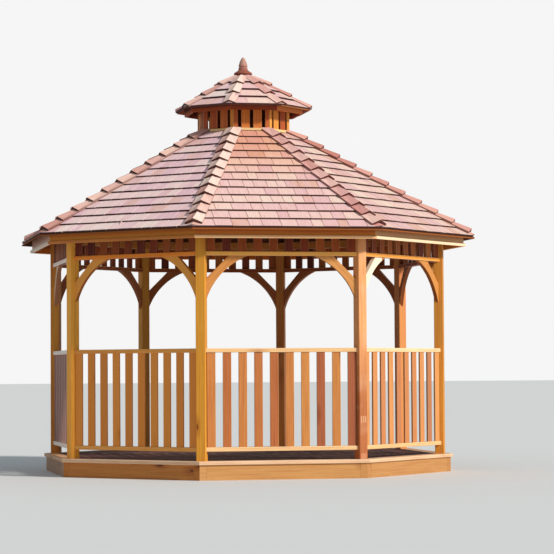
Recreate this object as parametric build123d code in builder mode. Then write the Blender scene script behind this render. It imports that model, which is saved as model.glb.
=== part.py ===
from build123d import *
import os
from math import cos, radians, sin, tan

# Eight-sided garden gazebo in cedar, in millimetres.
# The origin is the centre of the base on the ground and +Z is up.
# The front bay faces -Y. Bays and corners are counted anticlockwise seen from above.

# Plan
side_count = 8
bay_angle = 360 / side_count
half_angle = bay_angle / 2
post_circle = 1939  # radius through the post centres
post_size = 89
post_easing = 4  # flat taken off the posts' long edges

# Floor
skirt_height = 140
skirt_thick = 25
skirt_beyond = 103  # the skirt's corners, beyond the post centres
deck_thick = 33
deck_overhang = 20  # nosing beyond the skirt's face
nosing_round = 6
joist_thick = 38
hub_face = 120  # the hub's flat sides, where the joists end

# Heights above the deck
bottom_rail_under = 85
top_rail_top = 1022
header_under = 1867
header_to_plate = 204  # height of the short frieze slats
rafter_stand = 60  # the rafters' top edge above the wall plate, over its outer face
fascia_drop = 73  # the fascia's lower edge below the shingles' underside at the eave

# Rails, pickets and frieze slats
rail_width = 64
rail_thick = 38
picket_count = 10
picket_width = 78
picket_thick = 19
picket_setback = 10  # behind the rail's outer edge
plate_width = 89
plate_thick = 76

# Braces between post and header
brace_thick = 38
brace_outer_reach = 213  # straight outer edge, along the header and down the post
brace_inner_reach = 390  # curved inner edge, along the header and down the post
brace_radius = 640

# Main roof
roof_pitch = 32.2
fascia_beyond = 257  # the fascia's corners, beyond the post centres
eave_beyond = 100  # the shingles' corners, beyond the fascia's
fascia_thick = 19
shingle_layer = 10
board_thick = 19
rafter_width = 38
rafter_depth = 89
cap_width = 90
cap_thick = 14

# Cupola
curb_corner = 478
curb_thick = 38
curb_show = 28  # height of the curb above the roof
wall_setback = 10
wall_thick = 19
wall_height = 180  # open height of the slots between the slats
slot_count = 3
slot_width = 36
slot_pitch = 119
cupola_pitch = 32.6
cupola_fascia_beyond = 122  # the cupola fascia's corners, beyond the curb's
cupola_eave_beyond = 77  # the cupola shingles' corners, beyond its fascia's
cupola_eave_rise = 200  # the cupola shingles' underside at the eave, above the curb
cupola_fascia_drop = 34  # below the cupola's eave
cupola_board = 14
cupola_cap_width = 60
cupola_cap_thick = 12
cupola_top_half = 78  # half width across the flat top that carries the finial
king_block = 60

# Finial
finial_plinth_radius = 68
finial_plinth_height = 14
finial_disc_radius = 91
finial_disc_edge = 18
finial_stem_radius = 46
finial_stem_height = 68  # where the flare above the disc ends
finial_neck_height = 82
finial_neck_radius = 39
finial_groove = 11
finial_bell_radius = 44
finial_tip_radius = 13
finial_height = 187

# Worked out from the sizes above
cos_half = cos(radians(half_angle))
sin_half = sin(radians(half_angle))
tan_half = tan(radians(half_angle))
post_apothem = post_circle * cos_half
deck_top = skirt_height + deck_thick
skirt_face = (post_circle + skirt_beyond) * cos_half
deck_face = skirt_face + deck_overhang
fascia_corner = post_circle + fascia_beyond
fascia_face = fascia_corner * cos_half
eave_corner = fascia_corner + eave_beyond
eave_face = eave_corner * cos_half
curb_face = curb_corner * cos_half
cupola_fascia_corner = curb_corner + cupola_fascia_beyond
cupola_fascia_face = cupola_fascia_corner * cos_half
cupola_eave_corner = cupola_fascia_corner + cupola_eave_beyond
cupola_eave_face = cupola_eave_corner * cos_half
header_base = deck_top + header_under
plate_base = header_base + rail_thick + header_to_plate
plate_top = plate_base + plate_thick
plate_face = post_apothem + plate_width / 2
picket_inner = post_apothem + rail_width / 2 - picket_setback - picket_thick
bay_turns = [bay_angle * number for number in range(side_count)]
corner_turns = [turn - half_angle for turn in bay_turns]
bay_names = ["front", "front_right", "right", "back_right", "back", "back_left", "left", "front_left"]
railed_bays = ["front_left", "front", "front_right", "left"]

roof_slope = tan(radians(roof_pitch))
roof_rise = 1 / cos(radians(roof_pitch))  # plumb height of one unit of thickness
cupola_slope = tan(radians(cupola_pitch))
cupola_rise = 1 / cos(radians(cupola_pitch))


def outward(turn, distance=1):
    """A point at a distance from the axis, in the direction a bay or corner faces."""
    return (sin(radians(turn)) * distance, -cos(radians(turn)) * distance, 0)


def along(turn):
    return (cos(radians(turn)), sin(radians(turn)), 0)


def plan_plane(turn, height):
    """Level plane: x runs along the bay, y runs inward."""
    return Plane(origin=(0, 0, height), x_dir=along(turn), z_dir=(0, 0, 1))


def face_plane(turn, distance, height=0):
    """Upright plane across a bay or corner: x runs along it, y up, normal outward."""
    origin = Vector(outward(turn, distance)) + Vector(0, 0, height)
    return Plane(origin=origin, x_dir=along(turn), z_dir=outward(turn))


def section_plane(turn):
    """Upright plane through the axis: x is the distance from the axis, y the height."""
    backward = tuple(-value for value in along(turn))
    return Plane(origin=(0, 0, 0), x_dir=outward(turn), z_dir=backward)


def half_bay(distance):
    """Half the clear length between two posts, at a distance from the axis."""
    return distance * tan_half - post_size / 2 / cos_half


def roof_height(distance, depth=0):
    """Height of the main roof at a distance from the axis, some thickness below its top."""
    over_plate = plate_top + rafter_stand + (board_thick + shingle_layer) * roof_rise
    return over_plate + (plate_face - distance) * roof_slope - depth * roof_rise


def curb_top():
    return roof_height(curb_face) + curb_show


def cupola_height(distance, depth=0):
    """Height of the cupola's roof at a distance from the axis, some thickness below its top."""
    edge = curb_top() + cupola_eave_rise + shingle_layer * cupola_rise
    return edge + (cupola_eave_face - distance) * cupola_slope - depth * cupola_rise


def finish(part, name):
    part.label = name
    export_step(part, f"parts/{name}.step")


def octagon(face_distance):
    RegularPolygon(radius=face_distance / cos_half, side_count=side_count, rotation=half_angle)


def octagon_ring(outer_face, inner_face, base, height):
    """Eight mitred boards joined in a ring."""
    with BuildPart() as ring:
        with BuildSketch(Plane.XY.offset(base)):
            octagon(outer_face)
            with BuildSketch(mode=Mode.SUBTRACT):
                octagon(inner_face)
        extrude(amount=height)
    return ring.part


def mitred_run(turn, points):
    """A section carried along one side of the octagon and mitred on both corner lines."""
    reach = max(distance for distance, height in points)
    top = max(height for distance, height in points)
    with BuildPart() as run:
        with BuildSketch(section_plane(turn)):
            with BuildLine():
                Polyline(points, close=True)
            make_face()
        extrude(amount=reach * tan_half, both=True)
        with BuildSketch(plan_plane(turn, 0)):
            with BuildLine():
                Polyline((0, 0), (-reach * tan_half, -reach), (reach * tan_half, -reach), close=True)
            make_face()
        extrude(amount=top, mode=Mode.INTERSECT)
    return run.part


# Floor
def skirt():
    finish(octagon_ring(skirt_face, skirt_face - skirt_thick, 0, skirt_height), "skirt")


def joist(turn, end):
    """Plan of one floor joist, from the hub to the skirt."""
    with Locations(Location((0, 0, 0), (0, 0, turn))):
        with Locations((0, -(hub_face + end) / 2)):
            Rectangle(joist_thick, end - hub_face)


def floor_frame():
    joist_end = skirt_face - skirt_thick
    hip_joist_end = (joist_end - joist_thick / 2 * sin_half) / cos_half
    with BuildPart() as frame:
        with BuildSketch():
            for turn in bay_turns:
                joist(turn, joist_end)
            for turn in corner_turns:
                joist(turn, hip_joist_end)
        extrude(amount=skirt_height)
    finish(frame.part, "floor_frame")


def floor_hub():
    """Block in the middle of the floor, with one flat side for each joist."""
    joist_count = 2 * side_count
    with BuildPart() as hub:
        with BuildSketch():
            RegularPolygon(hub_face, joist_count, major_radius=False, rotation=180 / joist_count)
        extrude(amount=skirt_height)
    finish(hub.part, "floor_hub")


def deck_floor():
    with BuildPart() as deck:
        with BuildSketch(Plane.XY.offset(skirt_height)):
            octagon(deck_face)
        extrude(amount=deck_thick)
        rims = deck.edges().filter_by(Plane.XY)
        fillet(rims, nosing_round)
    finish(deck.part, "deck_floor")


# Walls
def post(turn, name):
    with BuildPart() as upright:
        plane = Plane(origin=outward(turn, post_circle), x_dir=along(turn), z_dir=(0, 0, 1))
        with BuildSketch(plane.offset(deck_top)):
            Rectangle(post_size, post_size)
        extrude(amount=plate_base - deck_top)
        chamfer(upright.edges().filter_by(Axis.Z), post_easing)
    finish(upright.part, name)


def between_posts(inner, outer):
    """Plan of a board between two posts, its ends lying on the posts' faces."""
    Polygon(
        (-half_bay(inner), -inner),
        (half_bay(inner), -inner),
        (half_bay(outer), -outer),
        (-half_bay(outer), -outer),
        align=None,
    )


def rail_outline():
    between_posts(post_apothem - rail_width / 2, post_apothem + rail_width / 2)


def picket_row(base, height):
    """Upright boards evenly spaced, the first and last against the posts."""
    clear = 2 * half_bay(picket_inner)
    pitch = (clear - picket_width) / (picket_count - 1)
    with Locations((0, base + height / 2)):
        with GridLocations(pitch, height, picket_count, 1):
            Rectangle(picket_width, height)


def railing(turn, name):
    bottom_top = deck_top + bottom_rail_under + rail_thick
    top_under = deck_top + top_rail_top - rail_thick
    with BuildPart() as panel:
        for height in (bottom_top - rail_thick, top_under):
            with BuildSketch(plan_plane(turn, height)):
                rail_outline()
            extrude(amount=rail_thick)
        with BuildSketch(face_plane(turn, picket_inner)):
            picket_row(bottom_top, top_under - bottom_top)
        extrude(amount=picket_thick)
    finish(panel.part, name)


def frieze(turn, name):
    """Header rail, short slats and the wall plate over one bay."""
    inner = post_apothem - plate_width / 2
    header_top = header_base + rail_thick
    with BuildPart() as panel:
        with BuildSketch(plan_plane(turn, header_base)):
            rail_outline()
        extrude(amount=rail_thick)
        with BuildSketch(face_plane(turn, picket_inner)):
            picket_row(header_top, plate_base - header_top)
        extrude(amount=picket_thick)
        with BuildSketch(plan_plane(turn, plate_base)):
            with BuildLine():
                Polyline(
                    (-inner * tan_half, -inner),
                    (inner * tan_half, -inner),
                    (plate_face * tan_half, -plate_face),
                    (-plate_face * tan_half, -plate_face),
                    close=True,
                )
            make_face()
        extrude(amount=plate_thick)
    finish(panel.part, name)


def brace_pair(turn, name):
    """Two curved braces in the corners under one header."""
    inner = post_apothem - brace_thick / 2
    outer = post_apothem + brace_thick / 2
    corner = half_bay(post_apothem)
    reach = half_bay(outer)
    head = (corner - brace_inner_reach, header_base)
    foot = (corner, header_base - brace_inner_reach)
    with BuildPart() as pair:
        with BuildSketch(face_plane(turn, inner)):
            with BuildLine():
                RadiusArc(head, foot, brace_radius)
                Polyline(
                    foot,
                    (reach, header_base - brace_inner_reach),
                    (reach, header_base - brace_outer_reach),
                    (reach - brace_outer_reach, header_base),
                    head,
                )
            make_face()
            mirror(about=Plane.YZ)
        extrude(amount=brace_thick)
        with BuildSketch(plan_plane(turn, 0)):
            between_posts(inner, outer)
        extrude(amount=plate_top, mode=Mode.INTERSECT)
    finish(pair.part, name)


# Main roof
def rafters():
    """Hip and common rafters, notched over the wall plate and cut against the curb."""
    tail = fascia_face - fascia_thick
    hip_tail = (tail - rafter_width / 2 * sin_half) / cos_half
    hip_drop = rafter_width / 2 * sin_half * roof_slope
    under = shingle_layer + board_thick
    with BuildPart() as frame:
        for turn in bay_turns:
            with BuildSketch(section_plane(turn)):
                with BuildLine():
                    Polyline(
                        (curb_face, roof_height(curb_face, under)),
                        (tail, roof_height(tail, under)),
                        (tail, roof_height(tail, under + rafter_depth)),
                        (curb_face, roof_height(curb_face, under + rafter_depth)),
                        close=True,
                    )
                make_face()
            extrude(amount=rafter_width / 2, both=True)
        for turn in corner_turns:
            start = curb_face - rafter_width
            with BuildSketch(section_plane(turn)):
                with BuildLine():
                    Polyline(
                        (start, roof_height(start * cos_half, under) - hip_drop),
                        (hip_tail, roof_height(hip_tail * cos_half, under) - hip_drop),
                        (hip_tail, roof_height(hip_tail * cos_half, under + rafter_depth)),
                        (start, roof_height(start * cos_half, under + rafter_depth)),
                        close=True,
                    )
                make_face()
            extrude(amount=rafter_width / 2, both=True)
        with BuildSketch(Plane.XY.offset(plate_base)):
            octagon(plate_face)
            with BuildSketch(mode=Mode.SUBTRACT):
                octagon(post_apothem - plate_width / 2)
        extrude(amount=plate_thick, mode=Mode.SUBTRACT)
        with BuildSketch(Plane.XY.offset(plate_top)):
            octagon(curb_face)
        extrude(amount=roof_height(0) - plate_top, mode=Mode.SUBTRACT)
    finish(frame.part, "rafters")


def roof_panel(turn, name):
    """Roof boards with the shingle layer running on over the fascia to the eave."""
    board_end = fascia_face - fascia_thick
    layers = shingle_layer + board_thick
    section = [
        (curb_face, roof_height(curb_face)),
        (eave_face, roof_height(eave_face)),
        (eave_face, roof_height(eave_face, shingle_layer)),
        (board_end, roof_height(board_end, shingle_layer)),
        (board_end, roof_height(board_end, layers)),
        (curb_face, roof_height(curb_face, layers)),
    ]
    finish(mitred_run(turn, section), name)


def fascia():
    inner = fascia_face - fascia_thick
    base = roof_height(eave_face, shingle_layer) - fascia_drop
    section = [
        (inner, base),
        (fascia_face, base),
        (fascia_face, roof_height(fascia_face, shingle_layer)),
        (inner, roof_height(inner, shingle_layer)),
    ]
    with BuildPart() as ring:
        for turn in bay_turns:
            add(mitred_run(turn, section))
    finish(ring.part, "fascia")


def hip_cap(turn, height, pitch, width, thick, start, end):
    """One V-shaped cap lying on the two roof panels that meet on a hip."""
    fall = width * sin_half * tan(radians(pitch))
    top = thick / cos(radians(pitch))
    peak = height(start * cos_half)
    drop = height(end * cos_half) - peak
    with BuildPart() as cap:
        with BuildSketch(face_plane(turn, start, peak)):
            with BuildLine():
                Polyline(
                    (0, 0),
                    (width, -fall),
                    (width, top - fall),
                    (0, top),
                    (-width, top - fall),
                    (-width, -fall),
                    close=True,
                )
            make_face()
        aim = Vector(outward(turn, end - start)) + Vector(0, 0, drop)
        extrude(amount=aim.length, dir=aim)
    return cap.part


def hip_caps():
    start = curb_corner
    with BuildPart() as caps:
        for turn in corner_turns:
            add(hip_cap(turn, roof_height, roof_pitch, cap_width, cap_thick, start, eave_corner))
        with BuildSketch():
            octagon(eave_face)
        extrude(amount=roof_height(0), mode=Mode.INTERSECT)
        with BuildSketch():
            octagon(curb_face)
        extrude(amount=roof_height(0), mode=Mode.SUBTRACT)
    finish(caps.part, "hip_caps")


# Cupola
def cupola_walls():
    """Curb that the rafters lean on, and the slatted wall over it."""
    layers = shingle_layer + board_thick + rafter_depth
    curb_base = roof_height(curb_face, layers)
    wall_base = curb_top()
    wall_face = curb_face - wall_setback
    wall_top = cupola_height(wall_face, shingle_layer + cupola_board)
    with BuildPart() as walls:
        add(octagon_ring(curb_face, curb_face - curb_thick, curb_base, wall_base - curb_base))
        add(octagon_ring(wall_face, wall_face - wall_thick, wall_base, wall_top - wall_base))
        for turn in bay_turns:
            with BuildSketch(face_plane(turn, wall_face - wall_thick * 1.5)):
                with Locations((0, wall_base + wall_height / 2)):
                    with GridLocations(slot_pitch, wall_height, slot_count, 1):
                        Rectangle(slot_width, wall_height)
            extrude(amount=wall_thick * 2, mode=Mode.SUBTRACT)
    finish(walls.part, "cupola_walls")


def cupola_roof():
    """Eight small panels with their fascia and hip caps, flat on top for the finial."""
    layers = shingle_layer + cupola_board
    inner = cupola_fascia_face - fascia_thick
    fascia_base = cupola_height(cupola_eave_face, shingle_layer) - cupola_fascia_drop
    top = cupola_height(cupola_top_half)
    block_base = top - king_block
    block_edge = cupola_eave_face + (cupola_height(cupola_eave_face, layers) - block_base) / cupola_slope
    section = [
        (0, top),
        (cupola_top_half, top),
        (cupola_eave_face, cupola_height(cupola_eave_face)),
        (cupola_eave_face, cupola_height(cupola_eave_face, shingle_layer)),
        (cupola_fascia_face, cupola_height(cupola_fascia_face, shingle_layer)),
        (cupola_fascia_face, fascia_base),
        (inner, fascia_base),
        (inner, cupola_height(inner, layers)),
        (block_edge, block_base),
        (0, block_base),
    ]
    start = cupola_top_half
    with BuildPart() as roof:
        for turn in bay_turns:
            add(mitred_run(turn, section))
        for turn in corner_turns:
            add(
                hip_cap(
                    turn,
                    cupola_height,
                    cupola_pitch,
                    cupola_cap_width,
                    cupola_cap_thick,
                    start,
                    cupola_eave_corner,
                )
            )
        with BuildSketch():
            octagon(cupola_eave_face)
        extrude(amount=top, mode=Mode.INTERSECT)
    finish(roof.part, "cupola_roof")


def finial():
    """Turned finial: a plinth, a flared disc, a groove and a bell that runs up to the tip."""
    base = cupola_height(cupola_top_half)
    disc_under = base + finial_plinth_height
    disc_top = disc_under + finial_disc_edge
    flare_end = base + finial_stem_height
    neck = base + finial_neck_height
    bell = neck + finial_groove
    tip = base + finial_height
    with BuildPart() as turned:
        with BuildSketch(section_plane(0)):
            with BuildLine():
                Polyline(
                    (0, base),
                    (finial_plinth_radius, base),
                    (finial_plinth_radius, disc_under),
                    (finial_disc_radius, disc_under),
                    (finial_disc_radius, disc_top),
                )
                RadiusArc(
                    (finial_disc_radius, disc_top),
                    (finial_stem_radius, flare_end),
                    -finial_disc_radius,
                )
                Polyline(
                    (finial_stem_radius, flare_end),
                    (finial_stem_radius, neck),
                    (finial_neck_radius, neck),
                    (finial_neck_radius, bell),
                    (finial_bell_radius, bell),
                )
                RadiusArc((finial_bell_radius, bell), (finial_tip_radius, tip), finial_height)
                Polyline((finial_tip_radius, tip), (0, tip), (0, base))
            make_face()
        revolve(axis=Axis.Z)
    finish(turned.part, "finial")


os.makedirs("parts", exist_ok=True)
skirt()
floor_frame()
floor_hub()
deck_floor()
rafters()
fascia()
hip_caps()
cupola_walls()
cupola_roof()
finial()
for number, corner_turn in enumerate(corner_turns, start=1):
    post(corner_turn, f"post_{number}")
for bay_turn, bay_name in zip(bay_turns, bay_names):
    frieze(bay_turn, f"frieze_{bay_name}")
    brace_pair(bay_turn, f"braces_{bay_name}")
    roof_panel(bay_turn, f"roof_{bay_name}")
    if bay_name in railed_bays:
        railing(bay_turn, f"railing_{bay_name}")
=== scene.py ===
import bpy
import random
from math import atan2, cos, pi, radians, sin, tan
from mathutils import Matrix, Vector


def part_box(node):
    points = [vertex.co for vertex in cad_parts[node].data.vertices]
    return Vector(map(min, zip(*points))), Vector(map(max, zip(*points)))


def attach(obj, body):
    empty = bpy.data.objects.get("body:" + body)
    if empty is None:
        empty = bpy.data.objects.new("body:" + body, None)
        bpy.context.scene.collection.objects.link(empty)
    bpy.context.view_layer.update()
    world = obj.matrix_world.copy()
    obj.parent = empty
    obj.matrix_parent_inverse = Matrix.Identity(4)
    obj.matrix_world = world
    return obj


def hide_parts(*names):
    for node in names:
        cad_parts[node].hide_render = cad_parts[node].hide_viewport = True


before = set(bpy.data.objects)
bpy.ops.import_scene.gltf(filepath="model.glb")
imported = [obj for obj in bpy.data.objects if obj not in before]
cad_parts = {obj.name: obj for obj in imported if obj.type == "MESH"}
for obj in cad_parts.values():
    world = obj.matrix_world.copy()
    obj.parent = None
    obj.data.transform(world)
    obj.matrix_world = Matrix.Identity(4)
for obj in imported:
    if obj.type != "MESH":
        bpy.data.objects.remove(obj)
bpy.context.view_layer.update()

print("cedar gazebo: frame loaded")

# Sizes of the frame that several pieces share, in metres
gazebo = {
    "bays": 8,
    "postCircle": 1.939,
    "postWidth": 0.089,
    "roofPitch": radians(32.2),
    "cupolaPitch": radians(32.6),
}
bayNames = ["front", "front_right", "right", "back_right", "back", "back_left", "left", "front_left"]
railedBays = ["front_left", "front", "front_right", "left"]
bayDegrees = 360 / gazebo["bays"]
bayTurn = {name: radians(bayDegrees * number) for number, name in enumerate(bayNames)}
bayAngle = radians(bayDegrees)
halfSin, halfCos, halfTan = sin(bayAngle / 2), cos(bayAngle / 2), tan(bayAngle / 2)
mitred = (-halfTan, halfTan)  # both ends of a board cut for the corners of the octagon
postLine = gazebo["postCircle"] * halfCos  # distance of the post centres' line from the axis
roofTan, cupolaTan = tan(gazebo["roofPitch"]), tan(gazebo["cupolaPitch"])
up = Vector((0, 0, 1))
scene = bpy.context.scene
luck = random.Random(41)


def outward(turn, distance=1.0):
    return Vector((sin(turn) * distance, -cos(turn) * distance, 0))


def alongBay(turn):
    return Vector((cos(turn), sin(turn), 0))


def freeLength(distance):
    return 2 * (distance * halfTan - gazebo["postWidth"] / 2 / halfCos)  # between the posts' faces


def linear(colour):
    out = []
    for value in colour:
        value = value / 255
        out.append(value / 12.92 if value <= 0.04045 else ((value + 0.055) / 1.055) ** 2.4)
    return (*out, 1)


# node trees
class Term:
    # A socket of a tree that can stand in a sum like a number.

    def __init__(self, net, socket):
        self.net, self.socket = net, socket

    def math(self, operation, other=None, clamp=False):
        return self.net.math(operation, self, other, clamp)

    def floor(self):
        return self.math("FLOOR")

    def fract(self):
        return self.math("FRACT")

    def __add__(self, other):
        return self.math("ADD", other)

    def __sub__(self, other):
        return self.math("SUBTRACT", other)

    def __rsub__(self, other):
        return self.net.math("SUBTRACT", other, self)

    def __mul__(self, other):
        return self.math("MULTIPLY", other)

    def __truediv__(self, other):
        return self.math("DIVIDE", other)

    def __neg__(self):
        return self.math("MULTIPLY", -1)

    def __abs__(self):
        return self.math("ABSOLUTE")

    def __lt__(self, other):
        return self.math("LESS_THAN", other)

    def __gt__(self, other):
        return self.math("GREATER_THAN", other)


class Net:
    # A material's or a geometry tree, with short ways to add nodes and links.

    def __init__(self, tree):
        self.tree = tree

    def fill(self, socket, value):
        if isinstance(value, Term):
            self.tree.links.new(value.socket, socket)
        else:
            socket.default_value = value

    def node(self, kind, inputs, **settings):
        node = self.tree.nodes.new(kind)
        for name, value in settings.items():
            setattr(node, name, value)
        for name, value in inputs.items():
            self.fill(node.inputs[name], value)
        return node

    def out(self, node, name):
        return Term(self, node.outputs[name])

    def get(self, kind, output, inputs, **settings):
        return self.out(self.node(kind, inputs, **settings), output)

    def math(self, operation, first, second=None, clamp=False):
        inputs = {0: first} if second is None else {0: first, 1: second}
        return self.get("ShaderNodeMath", 0, inputs, operation=operation, use_clamp=clamp)

    def vector(self, x=0.0, y=0.0, z=0.0):
        return self.get("ShaderNodeCombineXYZ", 0, {0: x, 1: y, 2: z})

    def split(self, source):
        node = self.node("ShaderNodeSeparateXYZ", {0: source})
        return [self.out(node, axis) for axis in range(3)]

    def turned(self, source, angle):
        inputs = {"Vector": source, "Angle": angle}
        return self.get("ShaderNodeVectorRotate", 0, inputs, rotation_type="Z_AXIS")

    def vectorMath(self, operation, inputs, output=0):
        return self.get("ShaderNodeVectorMath", output, inputs, operation=operation)

    def dot(self, first, second):
        return self.vectorMath("DOT_PRODUCT", {0: first, 1: second}, "Value")

    def rise(self, value, limits):
        # From 0 at the first limit to 1 at the second.
        inputs = {"Value": value, "From Min": limits[0], "From Max": limits[1]}
        return self.get("ShaderNodeMapRange", "Result", inputs)


# materials
plainLook = {
    "space": "board", "step": bayAngle, "offset": 0.0, "sway": 0.7,
    "rings": 32, "ringDepth": 0.35, "streakDepth": 0.4, "fineDepth": 0.3,
    "grainTints": ((214, 168, 128), (196, 150, 118), (190, 150, 120)),
    "roughness": (0.42, 0.62), "specular": 0.25, "relief": 0.25, "facings": (), "marks": (),
}


def boardSpace(net, look):
    # Gives a board's own point (along, across, through), its tone, its seed and its edges.
    where = look["space"]
    if where == "board":
        outputs = {"boardPoint": "Vector", "boardTone": "Fac", "boardSeed": "Fac", "boardEdge": "Fac"}
        return [net.get("ShaderNodeAttribute", output, {}, attribute_name=name) for name, output in outputs.items()]
    # a frame part is turned to the front by whole steps, so each one has the same space
    place = net.get("ShaderNodeTexCoord", "Object", {})
    x, y, _ = net.split(place)
    index = ((x.math("ARCTAN2", -y) - look["offset"]) / look["step"]).math("ROUND")
    x, y, z = net.split(net.turned(place, -(index * look["step"] + look["offset"])))
    seed = (index * 0.377).fract()
    parts, edge = (x, y, z), None
    if where == "post":
        parts = (z, x, y)
    elif where == "rafter":
        parts = (y, z, x)
    elif where == "brace":  # the grain runs at 45 degrees, up each side
        side = abs(x)
        parts = ((side - z) * 0.707, (side + z) * 0.707, y)
        seed = (seed + (x < 0.0) * 0.53).fract()
    elif where == "roof":  # boards laid level, row after row up the slope
        row = (y + 2.1) / look["boardWidth"]
        seed = (seed + row.floor() * 0.618).fract()
        edge = row.fract() * look["boardWidth"] < look["boardGap"]
    return net.vector(*parts), seed, seed, edge


def cedarFinish(name, ownLook):
    # Cedar with growth rings, streaks along the grain, knots, and a tone for each board, plus the painted light and
    # shade that a look lists.
    look = {**plainLook, **ownLook}
    material = bpy.data.materials.new(name)
    material.use_nodes = True
    net = Net(material.node_tree)
    point, tone, seed, edge = boardSpace(net, look)
    moved = net.vectorMath("ADD", {0: point, 1: net.vector(seed * 17.3, seed * 5.9, seed * 9.1)})

    def stretched(scale):
        return net.get("ShaderNodeMapping", 0, {"Vector": moved, "Scale": scale})

    def noise(scale, detail):
        inputs = {"Scale": 1.0, "Detail": detail, "Vector": stretched(scale)}
        return net.get("ShaderNodeTexNoise", "Fac", inputs)

    def shade(colour, factor, depth, tint, mode="MULTIPLY"):
        strength = factor.math("MULTIPLY", depth, clamp=True)
        inputs = {0: strength, 6: colour, 7: linear(tint)}
        return net.get("ShaderNodeMix", 2, inputs, data_type="RGBA", blend_type=mode)

    broad = noise((1.1, 13, 13), 3)
    streak = noise((2.5, 70, 70), 4)
    fine = noise((14, 420, 420), 3)
    ringInputs = {"Scale": look["rings"], "Distortion": 3.5, "Detail": 2, "Detail Scale": 1.2}
    ringInputs["Vector"] = stretched((0.05, 1, 1))
    rings = net.get("ShaderNodeTexWave", "Fac", ringInputs, wave_type="RINGS", rings_direction="X")

    # the board's tone, and its slow change along the length
    sway = (broad - 0.5) * look["sway"]
    ramp = net.node("ShaderNodeValToRGB", {"Fac": tone.math("ADD", sway, clamp=True)})
    stops, elements = look["colours"], ramp.color_ramp.elements
    while len(elements) < len(stops):
        elements.new(0.5)
    for element, (position, colour) in zip(elements, stops):
        element.position = position
        element.color = linear(colour)
    colour = net.out(ramp, "Color")
    streaky = (streak - 0.45).math("MULTIPLY", 3.2, clamp=True)
    finer = (fine - 0.5).math("MULTIPLY", 4, clamp=True)
    depths = (look["ringDepth"], look["streakDepth"], look["fineDepth"])
    for factor, depth, tint in zip((rings, streaky, finer), depths, look["grainTints"]):
        colour = shade(colour, factor, depth, tint)

    # knots: small dark ovals in some boards, with a softer halo
    cells = net.node("ShaderNodeTexVoronoi", {"Scale": 1.0, "Randomness": 1.0, "Vector": stretched((3.2, 13, 7))})
    away = net.out(cells, "Distance")
    some = net.get("ShaderNodeSeparateColor", 0, {0: net.out(cells, "Color")}) < look["knots"]
    halo = net.math("SUBTRACT", 1.0, away / 0.42, clamp=True)
    colour = shade(colour, halo * some, 0.7, (168, 98, 66))
    colour = shade(colour, (away < 0.13) * some, 0.7, (112, 58, 40))

    if "buttTint" in look:  # the sawn end of a shingle, darker for its end grain and as painted shade under the butt
        colour = shade(colour, edge, 0.92, look["buttTint"])
    elif look["space"] == "board":  # worn, paler edges
        colour = shade(colour, edge, 0.25, (255, 226, 186), "SCREEN")
    elif edge is not None:  # dark gaps between roof boards
        colour = shade(colour, edge, 0.9, (40, 24, 16))

    place = net.get("ShaderNodeTexCoord", "Object", {})
    normal = net.get("ShaderNodeNewGeometry", "True Normal", {})
    height = net.split(place)[2]
    if "rim" in look:  # plumb edges at the eave take the rim colour; on the cupola that colour is painted shade below the shingles
        plumb = abs(net.split(normal)[2]) < 0.3
        colour = shade(colour, (height > look["rim"]["above"]) * plumb, 0.95, look["rim"]["tint"], "MIX")
    if "courseShade" in look:  # painted shadow below the butts of the next course
        paintedCourseShadow = net.rise(net.split(point)[0], look["courseShade"]["limits"])
        colour = shade(colour, paintedCourseShadow, 1.0, look["courseShade"]["tint"])
    # painted light and shade: each side tint that a look lists
    level = net.vectorMath("NORMALIZE", {0: net.vectorMath("MULTIPLY", {0: place, 1: (1, 1, 0)})})
    for side in look["facings"]:
        inside = net.dot(level, outward(radians(side["turn"]))) > cos(radians(side["spread"]))
        if "heights" in side:
            inside = inside * net.rise(height, side["heights"]) * (height < side["until"])
        colour = shade(colour, inside, side["depth"], side["tint"], side["mode"])
    if "fade" in look:
        fade = look["fade"]
        colour = shade(colour, net.rise(height, fade["heights"]), fade["depth"], fade["tint"], fade["mode"])
    for mark in look["marks"]:
        aside = abs(net.dot(place, alongBay(radians(mark["turn"]))) - mark["across"])
        inside = (aside < mark["size"][0] / 2) * (abs(height - mark["height"]) < mark["size"][1] / 2)
        colour = shade(colour, inside, mark["depth"], mark["tint"], "MIX")
    if "inner" in look:  # painted shade on faces that look at the axis
        inward = net.dot(normal, place) < -look["inner"]["past"]
        colour = shade(colour, inward, 0.9, look["inner"]["tint"])
    if "weather" in look:
        inputs = {"Scale": look["weather"]["size"], "Detail": 5, "Vector": place}
        worn = (net.get("ShaderNodeTexNoise", "Fac", inputs) - 0.5).math("MULTIPLY", 5, clamp=True)
        colour = shade(colour, worn, look["weather"]["depth"], look["weather"]["tint"], "MIX")

    low, high = look["roughness"]
    bump = {"Strength": look["relief"], "Distance": 0.001, "Height": fine * 0.6 + rings * 0.4}
    shader = net.tree.nodes["Principled BSDF"]
    net.fill(shader.inputs["Base Color"], colour)
    net.fill(shader.inputs["Roughness"], streak * (high - low) + low)
    net.fill(shader.inputs["Specular IOR Level"], look["specular"])
    net.fill(shader.inputs["Normal"], net.get("ShaderNodeBump", "Normal", bump))
    material.diffuse_color = linear(stops[len(stops) // 2][1])
    return material


def steelFinish(name, look):
    material = bpy.data.materials.new(name)
    material.use_nodes = True
    net = Net(material.node_tree)
    place = net.get("ShaderNodeTexCoord", "Object", {})
    spots = net.get("ShaderNodeTexNoise", "Fac", {"Scale": look["grain"], "Vector": place})
    ramp = net.node("ShaderNodeValToRGB", {"Fac": spots})
    for element, colour in zip(ramp.color_ramp.elements, look["colours"]):
        element.color = linear(colour)
    low, high = look["roughness"]
    rough = {"To Min": low, "To Max": high, "Value": spots}
    shader = net.tree.nodes["Principled BSDF"]
    net.fill(shader.inputs["Metallic"], look["metallic"])
    net.fill(shader.inputs["Base Color"], net.out(ramp, "Color"))
    net.fill(shader.inputs["Roughness"], net.get("ShaderNodeMapRange", "Result", rough))
    return material


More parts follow.
